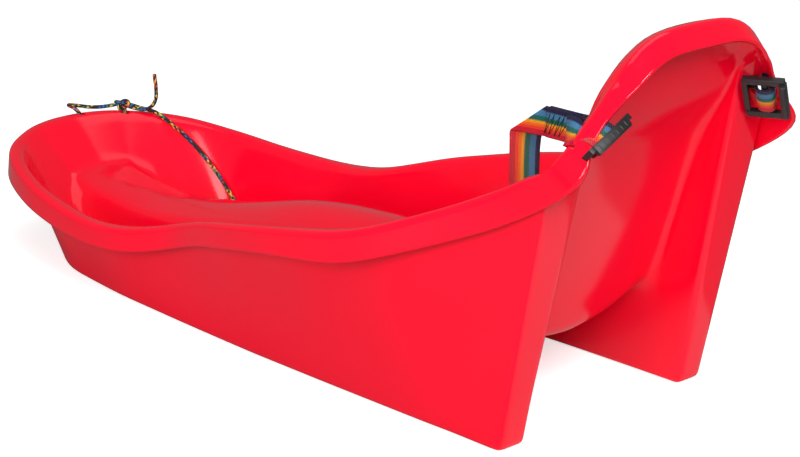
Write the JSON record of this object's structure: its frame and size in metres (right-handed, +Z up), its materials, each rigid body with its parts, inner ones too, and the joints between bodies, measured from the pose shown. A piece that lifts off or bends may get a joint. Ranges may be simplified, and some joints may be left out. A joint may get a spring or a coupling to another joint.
{
  "type": "toy sled",
  "caption": "Child's plastic snow sled: moulded tub with high backrest legs, rolled rim, striped webbing seat belt and a braided tow rope.",
  "frame": {"origin": "On the ground under the middle of the hull's length, at half its width", "axes": "+X is the way the sled is towed, +Y its left side, +Z up; Z = 0 is the ground it stands on"},
  "size_m": [0.8947, 0.3588, 0.345],
  "materials": {
    "red_plastic": "glossy moulded polyethylene",
    "webbing": "woven polypropylene webbing with rainbow stripes",
    "black_plastic": "semi-gloss moulded plastic",
    "rope": "braided polypropylene cord, black with coloured flecks"
  },
  "bodies": {
    "root": {"hull": "red_plastic", "lap_belt_left": "webbing", "lap_belt_right": "webbing", "crotch_strap": "webbing", "slider_left": "black_plastic", "slider_right": "black_plastic", "tow_rope": "rope", "tow_rope_tail": "rope", "tow_rope_loop": "rope", "tow_rope_knot": "rope", "tow_rope_coil": "rope"}
  },
  "joints": []
}
